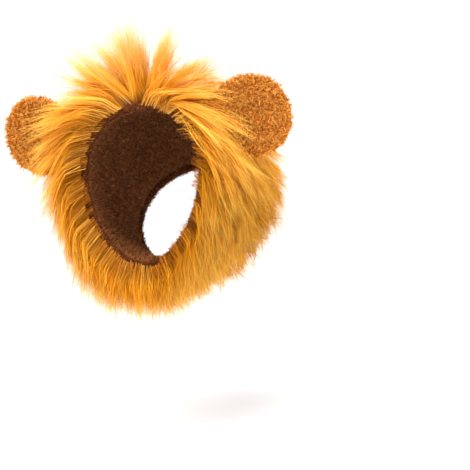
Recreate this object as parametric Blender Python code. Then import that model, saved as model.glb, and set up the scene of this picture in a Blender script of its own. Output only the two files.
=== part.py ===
"""Pet lion mane wig: a plush hood, open at the face and at the neck, with a long fur mane
all round it, a fan of fur standing up at the forehead and two round plush ears.

Metres, +Z up, the face opening towards -Y. The origin is where the crown of the head
sits against the inside of the hood.
"""

import math

import bmesh
import bpy
import numpy as np
from mathutils import Vector
from mathutils.bvhtree import BVHTree

MM = 0.001
DOWN = np.array([0.0, 0.0, -1.0])

# Hood: one row for each cross-section, from the face opening back to the neck opening.
# along is the way from the face opening, tilt leans the section's top backwards.
HOOD_COLUMNS = ("along", "half_width", "up", "down", "tilt_deg")
HOOD_ROWS = (
    (0.0, 41.5, 46.0, 56.0, 14.0),
    (14.0, 45.5, 51.0, 54.5, 17.0),
    (36.0, 49.0, 56.0, 50.0, 26.0),
    (60.0, 47.0, 53.0, 46.0, 36.0),
    (84.0, 42.0, 47.0, 43.0, 46.0),
)
HOOD_LENGTH = 84.0
CROWN_ALONG = 38.0
EGG = 0.10  # how much narrower the lower half is than the upper
CLOTH = 2.5
SEAM_GAP = 0.35  # clearance between neighbouring pieces
HEM_WIDTH = 5.0
HEM_DEPTH = 4.4
HEM_GAP = 0.3

# Mane: a dense backing round the hood, with rows of locks fused to it.
AROUND = 36  # sides of the hood and of all that follows it
BACKING_DEPTH = 10.0
BACKING_MARGIN = 1.0  # the backing stops this far short of each opening
CORE_REACH = 45.0  # locks stay out of the hood's line for this far past each opening
LOCK_STEPS = 5
# Each row of locks: where it grows on the hood, how many, the angle from the top where it
# starts on each side, how far it leans backwards, and its lift, run and length as shares of
# FLOW_ROWS.
LOCK_COLUMNS = ("along", "count", "first_deg", "back", "lift_share", "run_share", "length_share")
LOCK_ROWS = (
    (5.0, 24, 13.0, 0.02, 0.55, 1.00, 0.90),
    (20.0, 19, 16.0, 0.12, 0.95, 1.00, 0.96),
    (38.0, 18, 0.0, 0.40, 0.80, 0.80, 0.92),
    (57.0, 16, 0.0, 0.60, 0.75, 0.70, 0.85),
    (75.0, 14, 0.0, 0.70, 0.75, 0.65, 0.80),
)
# The fur parts at the top: it runs to the back there and down the side from this angle on,
# which grows by so many degrees for each mm from the face opening.
PARTING_DEG = 12.0
PARTING_GROWTH = 1.2
# How a lock leaves the hood, by its angle from the top: lift off the cloth, run down along
# the edge, length and droop under its own weight.
FLOW_COLUMNS = ("angle_deg", "lift", "run", "length", "droop")
FLOW_ROWS = (
    (0.0, 0.45, 0.80, 50.0, 0.2),
    (30.0, 0.38, 1.00, 56.0, 0.4),
    (60.0, 0.34, 1.05, 58.0, 0.8),
    (90.0, 0.38, 1.00, 56.0, 1.1),
    (120.0, 0.50, 0.75, 48.0, 1.1),
    (150.0, 0.65, 0.35, 43.0, 0.9),
    (180.0, 0.70, 0.00, 38.0, 0.8),
)
LOCK_HALF_WIDTH = 10.0
LOCK_DEPTH = 7.0

# Crest: locks that fan out from one pad at the forehead.
CREST_COLUMNS = ("lean_deg", "forward_deg", "length", "half_width", "curl")
CREST_ROWS = (
    (-66.0, -4.0, 52.0, 6.0, 0.25),
    (-50.0, 6.0, 60.0, 7.0, 0.18),
    (-34.0, -4.0, 54.0, 7.5, 0.10),
    (-18.0, 8.0, 58.0, 8.0, 0.05),
    (-3.0, -2.0, 60.0, 8.0, 0.02),
    (12.0, 8.0, 58.0, 8.0, 0.05),
    (28.0, -2.0, 56.0, 7.5, 0.12),
    (44.0, 6.0, 54.0, 7.0, 0.25),
    (62.0, -4.0, 54.0, 6.0, 0.45),
)
CREST_ALONG = 7.0
CREST_PAD = (11.0, 7.0, 6.0)  # half sizes: across, front to back, up
CREST_GAP = 0.8

# Ears: two plush panels round a thin filling, cupped forwards.
EAR_REACH = 60.0
EAR_HEIGHT = 60.0
EAR_DEPTH = 9.0
EAR_CUP = 9.0
EAR_PINCH = 0.24
EAR_COLUMNS = ("side", "across", "behind", "above", "droop_deg", "turn_deg")
EAR_ROWS = (
    (-1.0, 73.0, 16.0, 30.0, 16.0, 12.0),
    (1.0, 70.0, 16.0, 33.0, -4.0, 12.0),
)

MATERIALS = {
    "hood": ((0.36, 0.15, 0.045), 0.95),
    "hem": ((0.22, 0.065, 0.02), 0.95),
    "fur": ((0.74, 0.36, 0.07), 0.75),
    "ear_plush": ((0.60, 0.25, 0.06), 0.9),
}


def named(columns, row):
    """One row of a table as a dictionary."""
    return dict(zip(columns, row))


def column(columns, rows, name):
    """One column of a table as an array."""
    return np.array([row[columns.index(name)] for row in rows])


def between_rows(columns, rows, name, at):
    """A column's value at a place given in the table's first column, on a smooth curve."""
    places = column(columns, rows, columns[0])
    values = column(columns, rows, name)
    slopes = np.gradient(values, places)
    at = np.asarray(at, float)
    inside = np.clip(at, places[0], places[-1])
    low = np.clip(np.searchsorted(places, inside, side="right") - 1, 0, len(places) - 2)
    step = places[low + 1] - places[low]
    t = (inside - places[low]) / step
    start = (1 + 2 * t) * (1 - t) ** 2 * values[low] + t * (1 - t) ** 2 * step * slopes[low]
    end = t**2 * (3 - 2 * t) * values[low + 1] + t**2 * (t - 1) * step * slopes[low + 1]
    beyond = (at - inside) * np.where(at < inside, slopes[0], slopes[-1])
    return start + end + beyond


def unit(vectors):
    """Vectors scaled to length one."""
    vectors = np.asarray(vectors, float)
    return vectors / np.maximum(np.linalg.norm(vectors, axis=-1, keepdims=True), 1e-12)


def spine(along):
    """The middle of the hood's section at this way from the face opening, in mm."""
    along = np.asarray(along, float)
    steps = np.linspace(0.0, 1.0, 25)
    ways = along[..., None] * steps
    tilt = np.radians(between_rows(HOOD_COLUMNS, HOOD_ROWS, "tilt_deg", ways))
    back = np.cos(tilt).mean(-1) * along
    sink = np.sin(tilt).mean(-1) * along
    return np.stack([np.zeros_like(along), back, -sink], -1)


def section_points(angle, along):
    """Points on the inside of the hood, in mm from the middle of the face opening.
    The angle runs from the top of the section, towards +X."""
    angle, along = np.broadcast_arrays(np.asarray(angle, float), np.asarray(along, float))
    half_width, up, down, tilt = (
        between_rows(HOOD_COLUMNS, HOOD_ROWS, name, along) for name in HOOD_COLUMNS[1:]
    )
    tilt = np.radians(tilt)
    across = half_width * np.sin(angle) * (1 + EGG * np.cos(angle))
    rise = np.where(np.cos(angle) > 0, up, down) * np.cos(angle)
    middle = spine(along)
    return middle + np.stack([across, rise * np.sin(tilt), rise * np.cos(tilt)], -1)


ORIGIN = section_points(0.0, CROWN_ALONG)


def hood_frame(angle, along):
    """Inside points in metres, with the outward normal, the way down the side and the way back."""
    small_turn, small_way = 0.01, 0.5
    point = section_points(angle, along)
    round_it = section_points(angle + small_turn, along) - section_points(angle - small_turn, along)
    way_back = section_points(angle, along + small_way) - section_points(angle, along - small_way)
    round_it, way_back = unit(round_it), unit(way_back)
    normal = unit(np.cross(round_it, way_back))
    return (point - ORIGIN) * MM, normal, round_it, way_back


def hood_at(angle, along, out):
    """Points of the hood's shape in metres, pushed outwards by out in mm."""
    point, normal, _, _ = hood_frame(angle, along)
    return point + normal * np.asarray(out, float)[..., None] * MM


def material(name):
    """The material of this name, made once."""
    found = bpy.data.materials.get(name)
    if found:
        return found
    colour, roughness = MATERIALS[name]
    made = bpy.data.materials.new(name)
    made.use_nodes = True
    shader = made.node_tree.nodes["Principled BSDF"]
    shader.inputs["Base Color"].default_value = (*colour, 1.0)
    shader.inputs["Roughness"].default_value = roughness
    shader.inputs["Metallic"].default_value = 0.0
    made.diffuse_color = (*colour, 1.0)
    return made


def add_object(name, mesh, material_name=None):
    """A new object in the scene; without a material it is a helper that isn't rendered."""
    made = bpy.data.objects.new(name, mesh)
    bpy.context.scene.collection.objects.link(made)
    if material_name is None:
        made.hide_render = True
        made.display_type = "WIRE"
    else:
        mesh.materials.append(material(material_name))
    return made


def mesh_from(name, points, faces):
    """A mesh from points in metres, with its normals turned outwards."""
    mesh = bpy.data.meshes.new(name)
    mesh.from_pydata([tuple(p) for p in points], [], [tuple(int(i) for i in f) for f in faces])
    shape = bmesh.new()
    shape.from_mesh(mesh)
    bmesh.ops.recalc_face_normals(shape, faces=shape.faces)
    shape.to_mesh(mesh)
    shape.free()
    return mesh


def ring_faces(rings, around):
    """Quads that join closed rings of points, and the last ring back to the first."""
    faces = []
    for ring in range(rings):
        after = (ring + 1) % rings
        for i in range(around):
            j = (i + 1) % around
            faces.append((ring * around + i, ring * around + j, after * around + j, after * around + i))
    return faces


def shell(name, stations, material_name=None):
    """A closed wall round the hood. stations are (along, out) pairs in mm, which run once
    round the wall's cut, from the inside front to the inside back and home over the outside."""
    angles = np.linspace(0.0, 2 * math.pi, AROUND, endpoint=False)
    rings = [hood_at(angles, np.full(AROUND, s), np.full(AROUND, out)) for s, out in stations]
    faces = ring_faces(len(stations), AROUND)
    mesh = mesh_from(name, np.concatenate(rings), faces)
    made = add_object(name, mesh, material_name)
    mesh.shade_smooth()
    mesh.set_sharp_from_angle(angle=math.radians(50))
    return made


def wall_stations(start, end, inside, outside, count, soft):
    """The cut of a wall with rounded ends, as shell() takes it."""
    ways = np.linspace(start, end, count)
    inner = [(s, inside) for s in ways]
    middle = (inside + outside) / 2
    outer = [(s, outside) for s in ways[::-1]]
    outer[0] = (end - soft * 0.2, outside)
    outer[-1] = (start + soft * 0.2, outside)
    return [*inner, (end + soft, middle), *outer, (start - soft, middle)]


def make_hood():
    return shell("hood", wall_stations(0.0, HOOD_LENGTH, 0.0, CLOTH, 8, 0.4), "hood")


def make_hem(name, edge, away):
    """A turned edge that lies against the hood's end, away is -1 at the face and 1 at the neck."""
    near = edge + away * (0.4 + HEM_GAP)
    far = near + away * HEM_DEPTH
    low, high = CLOTH / 2 - HEM_WIDTH / 2, CLOTH / 2 + HEM_WIDTH / 2
    corner = 1.4
    stations = [
        (near, low + corner),
        (near, high - corner),
        (near + away * HEM_DEPTH * 0.4, high),
        (far, high - corner),
        (far, low + corner),
        (near + away * HEM_DEPTH * 0.4, low),
    ]
    return shell(name, stations, "hem")


def lock_path(root, normal, start, length, droop, obstacles, clear):
    """A lock's centre line: it leaves the cloth along start and bends down under its weight.
    obstacles are the surfaces that it slides along, each with the room that it keeps there and
    how deep inside it a point can be."""
    step = length / LOCK_STEPS
    points, way = [root], unit(start)
    for i in range(LOCK_STEPS):
        way = unit(way + DOWN * droop / LOCK_STEPS * (0.4 + i / LOCK_STEPS))
        point = points[-1] + way * step * MM
        for tree, room, depth in obstacles:
            place, facing, _, gap = tree.find_nearest(Vector(point))
            inside = (Vector(point) - place).dot(facing) < 0 and gap < depth * MM
            needed = min(room, clear * (i + 1)) * MM
            if inside or gap < needed:
                point = np.array(place) + np.array(facing) * needed
        way = unit(point - points[-1])
        points.append(point)
    return np.array(points)


def lock_mesh(points, outward, half_width, depth):
    """One lock round its centre line: flat below, with a ridge on its outer side."""
    rings = len(points) - 1
    tangents = unit(np.gradient(points, axis=0))
    across = unit(np.cross(tangents, outward))
    off = unit(np.cross(across, tangents))
    vertices = []
    for i in range(rings):
        share = i / rings
        swell = math.sin(math.pi * (0.22 + 0.60 * share)) * (1 - 0.35 * share**3)
        wide = across[i] * half_width * swell * MM
        deep = off[i] * depth * (1 - 0.55 * share) * MM
        vertices += [points[i] + wide - deep * 0.4, points[i] + deep * 0.6, points[i] - wide - deep * 0.4]
    vertices.append(points[-1])
    faces = [(2, 1, 0)]
    for i in range(rings - 1):
        for k in range(3):
            a, b = 3 * i + k, 3 * i + (k + 1) % 3
            faces.append((a, b, b + 3, a + 3))
    last = 3 * (rings - 1)
    for k in range(3):
        faces.append((last + k, last + (k + 1) % 3, len(vertices) - 1))
    return mesh_from("lock", vertices, faces)


def lock_group(name, paths):
    """A collection with one helper for each lock, for a Boolean to fuse."""
    group = bpy.data.collections.new(name)
    bpy.context.scene.collection.children.link(group)
    for path in paths:
        lock = bpy.data.objects.new(name, lock_mesh(*path))
        lock.hide_render = True
        lock.display_type = "WIRE"
        group.objects.link(lock)
    return group


def fused(obj, group):
    """Fuses a collection of locks to an object. EXACT doesn't end on so many that overlap."""
    modifier = obj.modifiers.new(group.name, "BOOLEAN")
    modifier.operation = "UNION"
    modifier.solver = "MANIFOLD"
    modifier.operand_type = "COLLECTION"
    modifier.collection = group
    keep_largest(obj)


def tree_of(obj):
    """The surface of an object, for finding the nearest point on it."""
    shape = bmesh.new()
    shape.from_mesh(obj.data)
    shape.transform(obj.matrix_world)
    tree = BVHTree.FromBMesh(shape)
    shape.free()
    return tree


def flow(name, angle):
    """A column of the flow table at an angle from the top, in radians, alike on both sides."""
    return float(between_rows(FLOW_COLUMNS, FLOW_ROWS, name, math.degrees(abs(angle))))


def mane_paths(obstacles):
    """The centre lines of all the mane's locks."""
    paths = []
    for number, row in enumerate(LOCK_ROWS):
        lock = named(LOCK_COLUMNS, row)
        first = math.radians(lock["first_deg"])
        share = (np.arange(lock["count"]) + 0.5) / lock["count"]
        angles = first + share * 2 * (math.pi - first)
        for place, angle in enumerate(angles):
            signed = angle if angle <= math.pi else angle - 2 * math.pi
            root, normal, round_it, way_back = hood_frame(angle, lock["along"])
            parting = math.degrees(signed) / (PARTING_DEG + PARTING_GROWTH * lock["along"])
            lift = flow("lift", signed) * lock["lift_share"]
            run = flow("run", signed) * lock["run_share"] * max(-1.0, min(1.0, parting))
            start = normal * lift + round_it * run + way_back * lock["back"]
            uneven = 1 + 0.10 * math.sin(2.4 * place + 1.7 * number)
            length = flow("length", signed) * lock["length_share"] * uneven
            root = root + normal * (CLOTH + SEAM_GAP + BACKING_DEPTH * 0.45) * MM
            points = lock_path(root, normal, start, length, flow("droop", signed), obstacles, 1.0)
            paths.append((points, normal, LOCK_HALF_WIDTH, LOCK_DEPTH))
    return paths


def cut(obj, other, solver="EXACT"):
    """Cuts another object's shape from this one."""
    modifier = obj.modifiers.new(other.name, "BOOLEAN")
    modifier.operation = "DIFFERENCE"
    modifier.solver = solver
    modifier.object = other


def keep_largest(obj):
    """Applies the object's modifiers and drops the crumbs that a cut has set free."""
    graph = bpy.context.evaluated_depsgraph_get()
    mesh = bpy.data.meshes.new_from_object(obj.evaluated_get(graph))
    obj.modifiers.clear()
    shape = bmesh.new()
    shape.from_mesh(mesh)
    left, groups = set(shape.verts), []
    while left:
        group, edge = set(), [left.pop()]
        while edge:
            vertex = edge.pop()
            group.add(vertex)
            near = {e.other_vert(vertex) for e in vertex.link_edges} & left
            left -= near
            edge += near
        groups.append(group)
    groups.sort(key=len)
    crumbs = [vertex for group in groups[:-1] for vertex in group]
    bmesh.ops.delete(shape, geom=crumbs, context="VERTS")
    shape.to_mesh(mesh)
    shape.free()
    obj.data = mesh


def make_mane(ears, crest_cutter, hood_cutter):
    """The backing with its locks, cut clear of the ears and of the crest."""
    outside = CLOTH + SEAM_GAP + BACKING_DEPTH
    start, end = BACKING_MARGIN + 1, HOOD_LENGTH - BACKING_MARGIN - 1
    stations = wall_stations(start, end, CLOTH - 1.0, outside, 6, 1.0)
    mane = shell("mane", stations, "fur")
    ways = np.linspace(-CORE_REACH, HOOD_LENGTH + CORE_REACH, 12)
    core = shell("mane_core", [(s, outside) for s in ways] + [(s, -25.0) for s in ways[::-1]])
    obstacles = [(tree_of(core), 3.0, 20.0)] + [(tree_of(ear), 3.0, 4.0) for ear in ears]
    fused(mane, lock_group("mane_locks", mane_paths(obstacles)))
    for cutter in [hood_cutter, *ears, crest_cutter]:
        cut(mane, cutter, "MANIFOLD")
    keep_largest(mane)
    return mane


def hood_room():
    """A thick ring that fills the hood's wall and its hems and reaches inwards, as a cutter."""
    inside, hem_out = -20.0, CLOTH / 2 + HEM_WIDTH / 2 + SEAM_GAP
    reach = 0.4 + HEM_GAP + HEM_DEPTH + SEAM_GAP
    wall = [(s, CLOTH + SEAM_GAP) for s in np.linspace(HOOD_LENGTH + 0.2, -0.2, 10)]
    back_hem = [(HOOD_LENGTH + reach, inside), (HOOD_LENGTH + reach, hem_out), (HOOD_LENGTH + 0.3, hem_out)]
    face_hem = [(-0.3, hem_out), (-reach, hem_out), (-reach, inside)]
    return shell("hood_room", [*back_hem, *wall, *face_hem])


def ear_points(grown):
    """The ear's pillow in its own frame, in mm: +X to its tip, -Y to the front, +Z up."""
    rings, around = 6, 26
    turns = np.linspace(0.0, 2 * math.pi, around, endpoint=False)
    reach, height = EAR_REACH / 2 + grown, EAR_HEIGHT / 2 + grown
    pinch = 1 - EAR_PINCH * (1 - np.cos(turns)) / 2
    points = []
    for side in (-1.0, 1.0):
        for ring in range(rings if side < 0 else rings - 1):
            share = (ring + 1) / rings if side < 0 else (rings - 1 - ring) / rings
            if side < 0 and ring == rings - 1:
                thick = 0.0
            else:
                thick = (EAR_DEPTH / 2) * (1 - share**3) ** 0.5 + grown
            x = reach * share * np.cos(turns)
            z = height * share * np.sin(turns) * pinch
            cup = -EAR_CUP * share**2 * (0.75 + 0.25 * np.cos(turns))
            points.append(np.stack([x, cup + side * thick, z], -1))
    front = np.array([[0.0, -EAR_DEPTH / 2 - grown, 0.0]])
    back = np.array([[0.0, EAR_DEPTH / 2 + grown, 0.0]])
    return np.concatenate([*points, front, back]), len(points), around


def ear_mesh(name, grown):
    points, rings, around = ear_points(grown)
    faces = []
    for ring in range(rings - 1):
        for i in range(around):
            j = (i + 1) % around
            faces.append((ring * around + i, ring * around + j, (ring + 1) * around + j, (ring + 1) * around + i))
    front, back = rings * around, rings * around + 1
    for i in range(around):
        j = (i + 1) % around
        faces.append((front, j, i))
        faces.append((back, (rings - 1) * around + i, (rings - 1) * around + j))
    return mesh_from(name, points * MM, faces)


def place_ear(obj, row):
    """Sets an ear at its place: its tip points outwards, its cup faces the front."""
    ear = named(EAR_COLUMNS, row)
    side = ear["side"]
    centre = np.array([side * ear["across"], ear["behind"], ear["above"]]) - ORIGIN
    obj.location = Vector(centre * MM)
    tip_down = math.radians(ear["droop_deg"]) * side
    turn = math.radians(ear["turn_deg"]) * side
    base_turn = 0.0 if side > 0 else math.pi
    obj.rotation_euler = (0.0, tip_down, base_turn + turn)
    return obj


def make_ear(name, row, hood_cutter):
    """One ear: the pillow, cut where it meets the hood. Its mirror image is mirrored in its mesh."""
    mesh = ear_mesh(name, 0.0)
    grown = ear_mesh(name + "_room", SEAM_GAP)
    if row[0] < 0:
        for one in (mesh, grown):
            one.transform(mirror_y())
            one.flip_normals()
    ear = add_object(name, mesh, "ear_plush")
    room = add_object(name + "_room", grown)
    for obj in (ear, room):
        place_ear(obj, row)
    cut(ear, hood_cutter)
    mesh.shade_smooth()
    return ear, room


def mirror_y():
    from mathutils import Matrix

    return Matrix.Diagonal((1.0, -1.0, 1.0, 1.0))


def crest_paths(root):
    paths = []
    for row in CREST_ROWS:
        lock = named(CREST_COLUMNS, row)
        lean, forward = math.radians(lock["lean_deg"]), math.radians(lock["forward_deg"])
        way = np.array([math.sin(lean) * math.cos(forward), -math.sin(forward), math.cos(lean)])
        points, step = [root + np.array([math.sin(lean) * 4 * MM, 0, 0])], lock["length"] / LOCK_STEPS
        for i in range(LOCK_STEPS):
            way = unit(way + DOWN * lock["curl"] / LOCK_STEPS * 2)
            points.append(points[-1] + way * step * MM)
        paths.append((np.array(points), np.array([0.0, -1.0, 0.0]), lock["half_width"], 6.0))
    return paths


def crest_pad(name, root, grown):
    """The small pad that the crest's locks grow from."""
    shape = bmesh.new()
    bmesh.ops.create_uvsphere(shape, u_segments=12, v_segments=7, radius=1.0)
    sizes = [(half + grown) * MM for half in CREST_PAD]
    bmesh.ops.scale(shape, vec=sizes, verts=shape.verts)
    bmesh.ops.translate(shape, vec=Vector(root), verts=shape.verts)
    mesh = bpy.data.meshes.new(name)
    shape.to_mesh(mesh)
    shape.free()
    return mesh


def make_crest(hood_cutter):
    """The crest's pad and locks, with the hood's room cut from below, and its own cutter."""
    root, normal, _, _ = hood_frame(0.0, CREST_ALONG)
    root = root + normal * (CLOTH + CREST_PAD[2] * 0.55) * MM
    made = []
    for name, grown in (("crest", 0.0), ("crest_room", CREST_GAP)):
        wider = [(p, out, w + 1.5 * grown, d + 3 * grown) for p, out, w, d in crest_paths(root)]
        obj = add_object(name, crest_pad(name, root, grown), "fur" if name == "crest" else None)
        fused(obj, lock_group(name + "_locks", wider))
        if name == "crest":
            cut(obj, hood_cutter)
            keep_largest(obj)
        made.append(obj)
    return made


def main():
    for old in list(bpy.data.objects):
        bpy.data.objects.remove(old)
    hood = make_hood()
    make_hem("face_hem", 0.0, -1.0)
    make_hem("neck_hem", HOOD_LENGTH, 1.0)
    hood_cutter = hood_room()
    ears = [make_ear(name, row, hood_cutter) for name, row in zip(("ear_left", "ear_right"), EAR_ROWS)]
    bpy.context.view_layer.update()
    crest, crest_room = make_crest(hood_cutter)
    make_mane([room for _, room in ears], crest_room, hood_cutter)
    return hood, crest


if __name__ == "__main__":
    main()
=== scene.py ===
"""Looks of the pet lion mane wig: a plush hood with long golden fur, a standing crest and two fleece ears.

The fur is real mesh. A lock's curve is marched off the hood's cloth, smaller tufts gather along
it and thin strands gather along each tuft. The script is laid out as a Blender add-on and is run
as a plain script.
"""

import math

import bpy
import numpy as np
from mathutils import Euler, Matrix, Vector
from mathutils.bvhtree import BVHTree


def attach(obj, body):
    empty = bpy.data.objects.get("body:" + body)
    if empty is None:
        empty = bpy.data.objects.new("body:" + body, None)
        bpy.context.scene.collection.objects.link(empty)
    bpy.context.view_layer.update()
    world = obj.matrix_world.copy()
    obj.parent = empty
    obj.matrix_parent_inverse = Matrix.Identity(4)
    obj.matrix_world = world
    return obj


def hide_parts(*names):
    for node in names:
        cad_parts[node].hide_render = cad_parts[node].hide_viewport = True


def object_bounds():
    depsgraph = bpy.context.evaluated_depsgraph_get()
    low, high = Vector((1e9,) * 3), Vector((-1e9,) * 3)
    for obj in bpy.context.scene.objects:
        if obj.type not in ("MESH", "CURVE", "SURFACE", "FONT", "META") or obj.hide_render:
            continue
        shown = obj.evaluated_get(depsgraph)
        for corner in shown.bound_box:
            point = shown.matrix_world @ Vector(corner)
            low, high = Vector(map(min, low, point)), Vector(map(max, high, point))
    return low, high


bl_info = {
    "name": "Lion Mane Wig",
    "version": (1, 0, 0),
    "blender": (4, 5, 0),
    "location": "3D View > Sidebar > Mane Wig",
    "description": "Dresses a pet's lion mane wig in fur, fleece and plush",
    "category": "Object",
}

MM = 0.001
DOWN = np.array([0.0, 0.0, -1.0])

# The hood, as the solids have it: one row for each cross-section.
HOOD_COLUMNS = ("along", "half_width", "up", "down", "tilt_deg")
HOOD_ROWS = (
    (0.0, 41.5, 46.0, 56.0, 14.0),
    (14.0, 45.5, 51.0, 54.5, 17.0),
    (36.0, 49.0, 56.0, 50.0, 26.0),
    (60.0, 47.0, 53.0, 46.0, 36.0),
    (84.0, 42.0, 47.0, 43.0, 46.0),
)
HOOD_LENGTH = 84.0
CROWN_ALONG = 38.0
EGG = 0.10
CLOTH = 2.5
HEM_GAP = 0.7
HEM_DEPTH = 4.4
HEM_WIDTH = 5.0
BACKING = 9.0

# How the mane leaves the hood, by the angle from the top, towards +X: lift off the cloth, run
# down along the edge, lean to the back, length in mm, droop under its own weight and how much
# lighter it is than the rest, which is painted light on the top and painted shade down the right
# side and under the chin.
# The last column is painted light and shade: lighter over the top, darker down the right side.
FLOW_COLUMNS = ("angle_deg", "lift", "run", "back", "length", "droop", "light")
FLOW_ROWS = (
    (-180.0, 0.60, 0.00, 0.20, 39.0, 0.9, -0.05),
    (-150.0, 0.60, 0.30, 0.15, 43.0, 0.9, 0.00),
    (-120.0, 0.40, 0.75, 0.05, 51.0, 1.1, -0.03),
    (-90.0, 0.26, 1.00, 0.05, 58.0, 1.2, 0.00),
    (-60.0, 0.36, 1.00, 0.05, 60.0, 1.0, 0.10),
    (-30.0, 0.42, 1.00, 0.05, 68.0, 0.5, 0.16),
    (0.0, 0.40, 0.80, 0.10, 50.0, 0.2, 0.10),
    (30.0, 0.22, 1.00, 0.05, 68.0, 0.7, 0.18),
    (60.0, 0.25, 1.00, 0.05, 68.0, 0.6, 0.05),
    (90.0, 0.10, 0.95, 0.10, 47.0, 1.5, -0.26),
    (120.0, 0.15, 0.80, 0.10, 41.0, 1.4, -0.20),
    (150.0, 0.40, 0.40, 0.15, 38.0, 0.9, -0.10),
    (180.0, 0.60, 0.00, 0.20, 39.0, 0.9, -0.05),
)
# How the mane changes from the face opening to the neck opening.
ROW_COLUMNS = ("along", "back", "lift_share", "run_share", "length_share")
ROW_ROWS = (
    (-5.0, -0.25, 1.00, 1.00, 0.86),
    (5.0, 0.00, 0.95, 1.00, 0.92),
    (20.0, 0.10, 0.70, 1.00, 0.90),
    (38.0, 0.25, 0.35, 0.85, 0.80),
    (57.0, 0.40, 0.35, 0.75, 0.74),
    (84.0, 0.60, 0.40, 0.65, 0.66),
)
# The mane's pieces: the angles and the part of the hood that each grows on, its locks and how
# long they are kept.
REGION_COLUMNS = ("name", "from_deg", "to_deg", "from_along", "to_along", "locks", "kept")
REGION_ROWS = (
    ("mane_left_edge", -180.0, -10.0, -5.0, 3.0, 55, 1.00),
    ("mane_right_edge", 10.0, 180.0, -5.0, 3.0, 55, 1.00),
    ("mane_left_front", -180.0, -10.0, 2.0, 24.0, 75, 1.00),
    ("mane_right_front", 10.0, 180.0, 2.0, 24.0, 75, 0.88),
    ("mane_left_back", -180.0, 0.0, 20.0, 82.0, 105, 0.95),
    ("mane_right_back", 0.0, 180.0, 20.0, 82.0, 105, 0.60),
)
# The crest's sprays: the middle lean from upright and its scatter, length and scatter in mm,
# how much it sags outwards and how many locks it has.
SPRAY_COLUMNS = ("lean_deg", "lean_scatter", "length", "length_scatter", "sag", "locks")
SPRAY_ROWS = (
    (-8.0, 4.0, 61.0, 3.0, 0.02, 15),
    (25.0, 2.0, 62.0, 2.0, 0.02, 9),
    (-30.0, 5.0, 57.0, 5.0, 0.06, 8),
    (-51.0, 7.0, 69.0, 6.0, 0.10, 8),
    (-76.0, 8.0, 56.0, 5.0, 0.25, 5),
    (50.0, 7.0, 46.0, 6.0, 0.20, 3),
    (72.0, 8.0, 48.0, 6.0, 0.30, 6),
)
CREST_ALONG = 4.0
# Fur stands up off the cloth first and then lies over: extra lift at the root, and how soon it
# fades along the lock, in mm.
ROOT_RISE = 0.75
RISE_REACH = 9.0
# It parts at the top over this angle, which grows by so many degrees for each mm from the face
# opening, and runs to the back there.
PARTING_DEG = 9.0
PARTING_GROWTH = 1.1
# The hem shows bare round the top of the face opening up to this angle. Elsewhere fur roots all
# over its roll, from its inner edge to its outer one.
HEM_SHOWN_DEG = 32.0
HEM_ROLL_DEG = (-60.0, 80.0)
# How far the fur's roots stand off the cloth, in mm.
ROOT_GAP = 0.4
# How strands stand round the curve that they gather to: how many there are and their points,
# the shortest's share of the length, groups that keep together, how much they close up to the
# tip, spread at the root, sway and stray in mm, and the share of loose ones.
LOOK_COLUMNS = ("strands", "points", "shortest", "groups", "gather", "spread", "sway", "stray", "loose")
MANE_TUFTS = dict(zip(LOOK_COLUMNS, (9, 9, 0.75, 9, 0.35, 4.4, 1.4, 5.0, 0.1)))
MANE_STRANDS = dict(zip(LOOK_COLUMNS, (11, 7, 0.5, 5, 0.40, 1.9, 0.6, 2.0, 0.07)))
CREST_TUFTS = dict(zip(LOOK_COLUMNS, (6, 9, 0.6, 6, 0.3, 1.6, 1.2, 3.4, 0.15)))
CREST_STRANDS = dict(zip(LOOK_COLUMNS, (20, 8, 0.4, 5, 0.6, 0.9, 0.5, 2.0, 0.25)))
FLEECE = dict(zip(LOOK_COLUMNS, (5, 5, 0.7, 2, 0.5, 0.8, 0.3, 0.4, 0.1)))

# How strands place themselves: a strand's own place against its group's, how fast and how far
# they close up to the tip, the turns of their sway, how much further loose ones go, and the share
# that keeps them off the surface.
OWN_PLACE = 0.45
CLOSING_POWER = 1.3
OWN_CLOSING = 0.85
SWAY_TURNS = (0.5, 1.6)
LOOSE_TIMES = 2.2
OFF_SURFACE = 0.6
# A strand's random roll in radians, and how it tapers to its tip.
STRAND_ROLL = 0.7
TAPER = 0.8
TAPER_POWER = 1.6
# Locks: their points, how much they differ in lift, run, lean to the back and length, and the
# share of their droop at the root.
LOCK_POINTS = 9
LIFT_SCATTER = 0.3
RUN_SCATTER = 0.12
BACK_SCATTER = 0.08
LENGTH_RANGE = (0.85, 1.1)
ROOT_DROOP = 0.4
# Strands that stray past the solids' box by more than this, in mm, are combed back to this share
# of it.
STRAY_ROOM = 5.0
STRAY_SHARE = 0.3
# Lightness of the mane: at the root, more at the tip, and how much tufts and strands differ.
MANE_TONE = 0.25
MANE_TIP_TONE = 0.25
TUFT_TONE = 0.12
STRAND_TONE = 0.1
# Roots of the mane follow each other round the hood and step along it by this share.
GOLDEN_STEP = 0.61803
# The undercoat's thickness and unevenness, and the plain core that locks lie on: its wall, how
# far it runs past the hood's ends, and the room to it and to the ears, each with the depth within
# which a point still counts as inside, in mm.
UNDERCOAT = 6.0
UNDERCOAT_UNEVEN = 1.2
CORE_WALL = 25.0
CORE_REACH = 45.0
CORE_ROOM = (2.0, 20.0)
EAR_ROOM = (2.5, 4.0)
# Crest: how locks lean to the front and back, how their roots fan out and scatter along the hood,
# their gap to the cloth and sideways drift, their steps and the strands' width and lightness.
CREST_FORWARD_DEG = 9.0
CREST_ROOT_FAN = 0.16
CREST_ALONG_SCATTER = 5.0
CREST_ROOT_GAP = 0.5
CREST_DRIFT = 0.01
CREST_STEPS = 8
CREST_WIDTH = 0.25
CREST_TONE = 0.2
CREST_TIP_TONE = 0.3
CREST_STRAND_TONE = 0.12

# Short pile: how many strands, their length, lean, spread, width and patches, in mm.
PILE_COLUMNS = ("strands", "length", "lean", "spread", "width", "patches")
HOOD_PILE = dict(zip(PILE_COLUMNS, (14000, 2.4, 0.7, 0.35, 0.55, 6.0)))
HEM_PILE = dict(zip(PILE_COLUMNS, (5200, 1.9, 0.4, 0.5, 0.45, 5.0)))
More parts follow.
